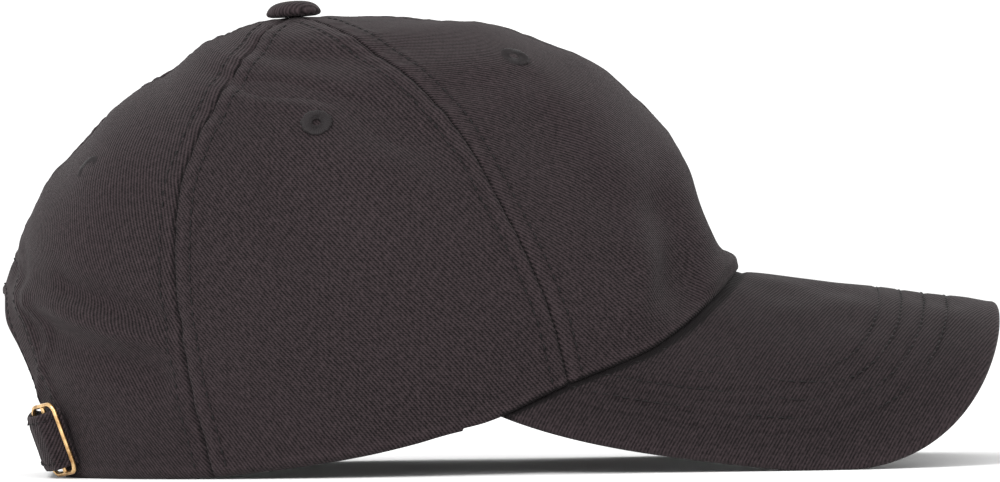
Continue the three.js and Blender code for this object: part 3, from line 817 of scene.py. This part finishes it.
def makePeak():
    share = np.linspace(-1, 1, peak["columns"] + 1)
    outer, inner = peakOutline(share), peakInner(share * peak["turn"])
    inwards = unit(inner - outer)
    reach = np.linalg.norm(inner - outer, axis=-1)
    half = peak["thickness"] / 2
    top = half + (reach[None] - half) * np.linspace(1, 0, peak["topRows"] + 1)[:, None]
    turn = np.linspace(0, math.pi, peak["edgeRows"] + 1)[1:-1, None]
    under = half + (reach[None] - half) * np.linspace(0, 1, peak["underRows"] + 1)[:, None]
    away = np.concatenate([top, half - half * np.sin(turn) + 0 * reach, under])
    depth = np.concatenate([0 * top, half - half * np.cos(turn) + 0 * reach, 0 * under + peak["thickness"]])
    flat = outer + inwards * away[..., None]
    isTop = np.zeros_like(away)
    isTop[: len(top)] = 1
    depth = depth - isTop * peakRelief(away, share, reach - away, flat)
    rows, columns = away.shape
    at = np.arange(rows * columns).reshape(rows, columns)
    ends = [at[:, 0], at[::-1, -1]]
    faces = [gridFaces(rows, columns, roundRows=True)] + [end[None] for end in ends]
    wearAndPaintedShade = 0.9 * swell(away, 0, 1.7) + 0.25 * swell(away, 4, 2.5)  # rubbed along its edge
    wearAndPaintedShade = wearAndPaintedShade - 5 * (1 - smoothStep(reach - away, 2.4, 4.2))  # painted shade under the crown's rim
    # painted shade along the peak's sunk stitch rows
    for row in peak["stitchRows"]:
        wearAndPaintedShade = wearAndPaintedShade - 0.4 * swell(away, row + rowDrift(share), 0.6)
    piece = makePiece("cloth_peak", place(peakAt(flat, depth)), faces, peakCloth, flat / 10, wearAndPaintedShade)
    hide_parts("peak")


makePeak()


# Rows of stitches a fixed way in from the peak's outer edge
def peakRows():
    share = np.linspace(-0.93, 0.93, 900)
    outline = peakOutline(share)
    ahead = unit(np.gradient(outline, axis=0))
    inwards = np.stack([ahead[:, 1], -ahead[:, 0]], -1)
    inwards = inwards * np.sign(np.sum(inwards * ((0, -20) - outline), -1))[:, None]
    limit = peakInner(share * peak["turn"])
    rows = []
    for away in peak["stitchRows"]:
        flat = outline + inwards * (away + rowDrift(share))[:, None]
        keep = flat[:, 1] > np.interp(flat[:, 0], limit[:, 0], limit[:, 1]) + 3
        flat = flat[keep]
        rows.append((peakAt(flat, 0.2), unit(peakAt(flat, 0.0) - peakAt(flat, 1.0))))
    return rows


peakStitch = {**crownStitch, "pitch": 2.8, "share": 0.76, "seed": 7}
makeStitches("peak_stitches", peakRows(), peakStitch, darkThreadAndHoleShade)
print("peak made")


# A seat on the crown, in the frame's axes and millimetres: Z out, X to the front and Y up the cloth
def frameOnCrown(degrees, level, lift=0.0):
    degrees, level = np.float64(degrees), np.float64(level)
    origin, above = (swapAxes(foldedCrown(degrees, at)) for at in (level, level + 0.01))
    normal = swapAxes(outward(foldedCrown, degrees, level))
    across = unit(np.cross(above - origin, normal))
    seat = np.eye(4)
    for axis, vector in enumerate((across, unit(np.cross(normal, across)), normal, origin + normal * lift)):
        seat[:3, axis] = vector
    return seat


def inFrame(points, seat):
    return (np.asarray(points) @ seat[:3, :3].T + seat[:3, 3]) / 1000


# Eyelets, satin-stitched round a small hole
eyelet = {"hole": 1.2, "outer": 4.3, "height": 0.62, "under": 2.6, "threads": 40, "ragged": 0.22, "seed": 21}
eyeletPlaces = {"front": (30, 0.585), "side": (90, 0.63), "back": (150, 0.545)}  # degrees and level


def makeEyelet(name, degrees, level, seed):
    rng = np.random.default_rng(seed)
    steps = eyelet["threads"] * 4
    turn = np.arange(steps) * math.tau / steps
    ridge = 0.5 + 0.5 * np.cos(turn * eyelet["threads"])
    ragged = np.repeat(rng.uniform(-eyelet["ragged"], eyelet["ragged"], eyelet["threads"]), 4)
    spread = np.linspace(0, math.pi, 9)
    middle, half = (eyelet["outer"] + eyelet["hole"]) / 2, (eyelet["outer"] - eyelet["hole"]) / 2
    radius = middle - half * np.cos(spread)[:, None] + ragged * (spread[:, None] / math.pi) ** 2
    height = np.sin(spread)[:, None] ** 0.7 * eyelet["height"] * (0.72 + 0.28 * ridge) - 0.25
    walls = [np.full((1, steps), wall) for wall in (eyelet["hole"] + 0.1, eyelet["outer"] - 0.4)]
    radius = np.concatenate([walls[0], radius, walls[1]])
    under = np.full((1, steps), -eyelet["under"])
    height = np.concatenate([under, height, under])
    points = np.stack([radius * np.cos(turn), radius * np.sin(turn), height], -1)
    faces = [gridFaces(len(radius), steps, roundRows=True, roundColumns=True)]
    seat = frameOnCrown(degrees, level, 0.1)
    piece = makePiece("thread_" + name, inFrame(points.reshape(-1, 3), seat), faces, eyeletThread, sharp=80)
    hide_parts(name)


for panel, (degrees, level) in eyeletPlaces.items():
    for side, sign in (("right", 1), ("left", -1)):
        makeEyelet(f"eyelet_{panel}_{side}", sign * degrees, level, eyelet["seed"] + degrees + sign)
print("eyelets made")


# The covered button, its cloth gathered under the edge
button = {
    "tilt": 3,
    "seat": 127.0,
    "back": 55.6,
    "pleats": 18,
    "profile": [  # (radius, height): over the dome, round its edge and down the rivet
        (0.001, 4.4), (1.2, 4.38), (2.4, 4.3), (3.6, 4.15), (4.7, 3.9), (5.6, 3.55), (6.4, 3.05), (7.05, 2.4),
        (7.5, 1.7), (7.7, 1.1), (7.6, 0.7), (7.2, 0.25), (6.4, 0.0), (5.0, 0.2), (1.4, 0.4), (1.3, -2.2),
        (4.4, -2.5), (4.8, -3.0), (4.8, -4.2), (4.4, -4.6), (0.001, -4.6),
    ],
}


def makeButton():
    steps = 144
    turn = np.arange(steps) * math.tau / steps
    profile = np.array(button["profile"])
    gather = 0.5 + 0.5 * np.cos(turn * button["pleats"] + 0.8 * np.sin(3 * turn))
    folded = swell(profile[:, 1], 0.5, 0.9) * (profile[:, 0] > 6)
    wide = profile[:, :1] - 0.35 * folded[:, None] * gather
    dome = 0.07 * np.sin(2 * turn + 0.6) * smoothStep(profile[:, :1], 2, 7) * (profile[:, 1:] > 0.5)
    points = np.stack([wide * np.cos(turn), wide * np.sin(turn), profile[:, 1:] + dome], -1)
    rows, ring = len(profile), np.arange(steps)[None]
    faces = [gridFaces(rows, steps, roundColumns=True), ring, (rows - 1) * steps + ring]
    flat = points[..., :2] / 10
    wearAndPaintedShade = swell(profile[:, :1], 7.2, 0.9) * (profile[:, 1:] > 0) + 0 * turn
    tilt = math.radians(-button["tilt"])
    seat = np.array(Matrix.Translation((0, button["back"], button["seat"])) @ Matrix.Rotation(tilt, 4, "X"))
    piece = makePiece("cloth_button", inFrame(points.reshape(-1, 3), seat), faces, buttonCloth, flat, wearAndPaintedShade)
    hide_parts("button")


makeButton()

# The band inside the rim, with a stitched hem along its top
band = {
    "height": 30,
    "thickness": 1.2,
    "lift": 1.2,
    "setIn": 1.0,
    "end": 173 - opening["turn"],
    "ripple": 0.18,
    "hemRow": 27,
    "rows": 16,
    "columns": 300,
}


def makeBand():
    turn = np.linspace(-band["end"], band["end"], band["columns"] + 1)[None]
    rise = np.linspace(0, band["height"], band["rows"] + 1)[:, None]
    level = (band["lift"] + rise) / crown["length"] + 0 * turn
    turn = turn + 0 * rise
    flat = np.stack([np.radians(turn) * 75, rise + 0 * turn], -1)
    ripple = band["ripple"] * waves(flat * (1, 0.4), 9, 41) * smoothStep(rise, 2, 12)
    ripple = ripple - 0.2 * swell(rise, band["hemRow"], 0.8)
    front = crown["wall"] + band["setIn"]
    points = []
    for depth in (front, front + band["thickness"]):
        point = clothAt(turn, level, depth, 0.0)
        inwards = unit(outward(foldedCrown, turn, level) * (1, 1, 0))
        points.append(point - inwards * (ripple * (depth > front))[..., None])
    corners = place(np.concatenate([face.reshape(-1, 3) for face in points]))
    flat = np.concatenate([flat, flat]) / 10
    piece = makePiece("cloth_sweatband", corners, wallFaces(*turn.shape), bandCloth, flat)
    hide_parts("sweatband")


makeBand()
print("button and sweatband made")

strap = {
    "width": 16,
    "thickness": 1.5,
    "lift": 8.9,  # of its middle above the rim
    "liftAtBuckle": 10.9,
    "sewnTurn": 12,  # how far past the opening it is sewn on, in degrees
    "clear": 0.9,
    "sunk": 2.6,  # how far it is drawn in at the back
    "bulge": 0.4,
    "goesUnder": (0.24, 0.97),  # between these shares of the way from the middle bar to the near one
    "tail": 0.2,
    "tuck": 1.4,
    "row": 5.9,  # from its middle to its edge stitches
}
buckle = {"turn": 152.8, "tall": 21, "wide": 13, "corner": 2.4, "wire": 1.3, "proud": 3.3, "lean": 6}
tab = {"width": 14, "thickness": 0.9, "length": 2.6, "drop": 1.1, "row": 5.1}
threadGap = 0.35  # between the wire and the cloth round it


# A frame tipped outwards at its top
def tipped(seat, degrees):
    return seat @ np.array(Matrix.Rotation(math.radians(degrees), 4, "X"))


buckleSeat = frameOnCrown(buckle["turn"], strap["liftAtBuckle"] / crown["length"], buckle["proud"])
buckleSeat = tipped(buckleSeat, buckle["lean"])
barPitch = (buckle["wide"] - buckle["wire"]) / 2


# A step of a ribbon's path: a place in the XZ plane of a frame, and the direction of the ribbon's width
def stepIn(seat, x=0.0, z=0.0):
    return seat[:3, :3] @ np.array([x, 0, z]) + seat[:3, 3], seat[:3, 1]


# Drawn straight across the back to the buckle, over its far bar and the tab on its middle one, then under the
# near bar, where the end is tucked in
def strapPath():
    path = []
    level = strap["lift"] / crown["length"]
    for away in np.arange(opening["turn"] + strap["sewnTurn"], -0.1, -1.0):
        clear = mix(-strap["sunk"], strap["clear"], smoothStep(away, 0, opening["turn"] - 3))
        path.append(stepIn(frameOnCrown(away - 180, level, clear + strap["thickness"] / 2)))
    onBar = (buckle["wire"] + strap["thickness"]) / 2 + threadGap
    onTab = onBar + tab["thickness"] + 0.3
    (back, backUp), (bar, barUp) = path[-1], stepIn(buckleSeat, -barPitch - 0.4, onBar)
    out = unit(np.cross(bar - back, barUp))
    for share in np.linspace(0, 1, 41)[1:]:
        spot = mix(back, bar, share) + out * strap["bulge"] * math.sin(math.pi * share)
        path.append((spot, unit(mix(backUp, barUp, share))))
    start, end = (share * barPitch for share in strap["goesUnder"])
    for x in np.arange(-barPitch + 0.4, barPitch + strap["tail"], 0.4):
        rise = mix(onBar, onTab, smoothStep(x, -barPitch, -barPitch / 3))
        tuck = smoothStep(x, 0.9 * barPitch, barPitch + 1.2)
        z = mix(rise, -onBar, smoothStep(x, start, end)) - strap["tuck"] * tuck
        path.append(stepIn(tipped(buckleSeat, -buckle["lean"] * tuck), x, z))
    return path


def tabPath():
    radius = (buckle["wire"] + tab["thickness"]) / 2 + threadGap
    length, drop = tab["length"], tab["drop"]
    path = [(length, radius - 2.2 * drop), (length / 2, radius - 0.8 * drop)]
    for turn in np.linspace(math.pi / 2, 1.5 * math.pi, 13):
        path.append((radius * math.cos(turn), radius * math.sin(turn)))
    path += [(length / 2, -radius - 0.3 * drop), (length, -radius - 0.7 * drop)]
    return [stepIn(buckleSeat, x, z) for x, z in path]


# A cloth ribbon with rounded edges along a path, and the (points, normals) of its two edge rows
def makeRibbon(name, path, look, node):
    at, up = (np.array([step[k] for step in path]) for k in (0, 1))
    ahead = unit(np.gradient(at, axis=0))
    normal = unit(np.cross(ahead, up))
    turn = np.arange(28) * math.tau / 28
    wide = look["width"] / 2 * np.sign(np.cos(turn)) * np.abs(np.cos(turn)) ** 0.35
    thick = look["thickness"] / 2 * np.sign(np.sin(turn)) * np.abs(np.sin(turn)) ** 0.7
    thick = thick * (1 - 0.3 * swell(np.abs(wide), look["row"], 0.7))
    run = np.r_[0, np.cumsum(np.linalg.norm(np.diff(at, axis=0), axis=-1))]
    points = at[:, None] + up[:, None] * wide[:, None] + normal[:, None] * thick[:, None]
    rows, columns = points.shape[:2]
    ring = np.arange(columns)[None]
    faces = [gridFaces(rows, columns, roundColumns=True), ring[:, ::-1], (rows - 1) * columns + ring]
    flat = np.stack(np.broadcast_arrays(run[:, None], wide[None] + 30 * (thick[None] < 0)), -1) / 10
    wearAndPaintedShade = swell(np.abs(wide), look["width"] / 2, 0.8) + 0 * run[:, None]
    piece = makePiece(name, points.reshape(-1, 3) / 1000, faces, strapCloth, flat, wearAndPaintedShade)
    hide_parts(node)
    at, up, out = swapAxes(at), swapAxes(up), swapAxes(normal)
    out = out * np.sign(np.sum(out * (at - (-60, 0, 10)), -1))[:, None]  # away from the crown's middle
    return [(at + up * row + out * look["thickness"] * 0.4, out) for row in (look["row"], -look["row"])]


strapRows = makeRibbon("cloth_strap", strapPath(), strap, "strap")
makeRibbon("cloth_buckle_tab", tabPath(), tab, "buckle_tab")
strapStitch = {**crownStitch, "pitch": 2.6, "radius": 0.2, "seed": 8}
makeStitches("strap_stitches", strapRows, strapStitch, darkThreadAndHoleShade)


# A closed tube round a closed path in a plane
def tubeRound(path, radius, sides):
    ahead = unit(np.roll(path, -1, 0) - np.roll(path, 1, 0))
    outwards = np.stack([ahead[:, 1], -ahead[:, 0], 0 * ahead[:, 0]], -1)
    turn = np.arange(sides) * math.tau / sides
    points = path[:, None] + outwards[:, None] * (np.cos(turn) * radius)[:, None]
    points[..., 2] += np.sin(turn) * radius
    return points


def makeBuckle():
    radius, sides, cornerSteps = buckle["wire"] / 2, 16, 8
    halfTall = (buckle["tall"] - buckle["wire"]) / 2
    path = []
    for corner, (x, y) in enumerate(((1, 1), (-1, 1), (-1, -1), (1, -1))):
        for step in range(cornerSteps + 1):
            turn = math.pi / 2 * (corner + step / cornerSteps)
            path.append((
                x * (barPitch - buckle["corner"]) + buckle["corner"] * math.cos(turn),
                y * (halfTall - buckle["corner"]) + buckle["corner"] * math.sin(turn),
                0,
            ))
    ring = tubeRound(np.array(path), radius, sides)
    turn = np.arange(sides) * math.tau / sides
    ends = np.array([-halfTall, halfTall])[:, None]
    bar = np.stack(np.broadcast_arrays(np.cos(turn) * radius, ends, np.sin(turn) * radius), -1)
    points = np.concatenate([ring.reshape(-1, 3), bar.reshape(-1, 3)])
    first = ring.shape[0] * sides
    caps = np.stack([first + np.arange(sides)[::-1], first + sides + np.arange(sides)])
    ringFaces = gridFaces(ring.shape[0], sides, roundRows=True, roundColumns=True)
    faces = [ringFaces, gridFaces(2, sides, first, roundColumns=True), caps]
    piece = makePiece("brass_buckle", inFrame(points, buckleSeat), faces, brass)
    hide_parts("buckle")


makeBuckle()
print("strap and buckle made")

# The camera, where the photograph was taken from
view = {"distance": 2.0, "forward": 0.00106, "height": 0.06322, "roll": math.radians(0.95), "lens": 257.14}
cameraData = bpy.data.cameras.new("sideCamera")
cameraData.lens = view["lens"]
cameraData.clip_end = 50
sideCamera = addObject("sideCamera", cameraData)
cosine, sine = math.cos(view["roll"]), math.sin(view["roll"])
turned = Matrix(((0, 0, -1), (-cosine, -sine, 0), (-sine, cosine, 0))).to_4x4()
standpoint = Matrix.Translation((-view["distance"], -view["forward"], view["height"]))
sideCamera.matrix_world = standpoint @ turned
bpy.context.scene.camera = sideCamera

# A plain pale floor, a pale surround and soft lights
studio = {"floorColour": (0.92, 0.92, 0.92, 1), "floorSize": 30, "surround": 1.2, "aim": (0, 0, 0.06)}
lights = {
    "high": {"at": (-1.5, 0.8, 1.2), "size": 0.8, "power": 26},
    "cameraSide": {"at": (-2.2, -0.3, 0.6), "size": 1.2, "power": 12},
    "farSide": {"at": (1.8, 0.9, 1.3), "size": 1.2, "power": 5},
}


def makeFloor():
    half = studio["floorSize"] / 2
    mesh = bpy.data.meshes.new("floor")
    corners = [(-half, -half, 0), (half, -half, 0), (half, half, 0), (-half, half, 0)]
    mesh.from_pydata(corners, [], [(0, 1, 2, 3)])
    material, tree, principled = newMaterial("paleFloor", {"Roughness": 0.9, "Specular IOR Level": 0.1})
    grain = patches(tree, addNode(tree, "TexCoord").outputs["Object"], 60.0, 3.0)
    paler = tuple(min(value * 1.03, 1) for value in studio["floorColour"])
    colourBetween(tree, principled, grain, studio["floorColour"], paler)
    mesh.materials.append(material)
    addObject("floor", mesh)


makeFloor()
for name, light in lights.items():
    data = bpy.data.lights.new(name, "AREA")
    data.shape, data.size, data.energy = "DISK", light["size"], light["power"]
    lamp = addObject(name, data)
    lamp.location = light["at"]
    lamp.rotation_euler = (lamp.location - Vector(studio["aim"])).to_track_quat("Z", "Y").to_euler()
    lamp.visible_camera = False

surround = bpy.data.worlds.new("surround")
surround.use_nodes = True
background = surround.node_tree.nodes["Background"]
background.inputs["Color"].default_value = (1, 1, 1, 1)
background.inputs["Strength"].default_value = studio["surround"]
bpy.context.scene.world = surround
bpy.context.scene.view_settings.view_transform = "Standard"
print("camera, floor and lights made")
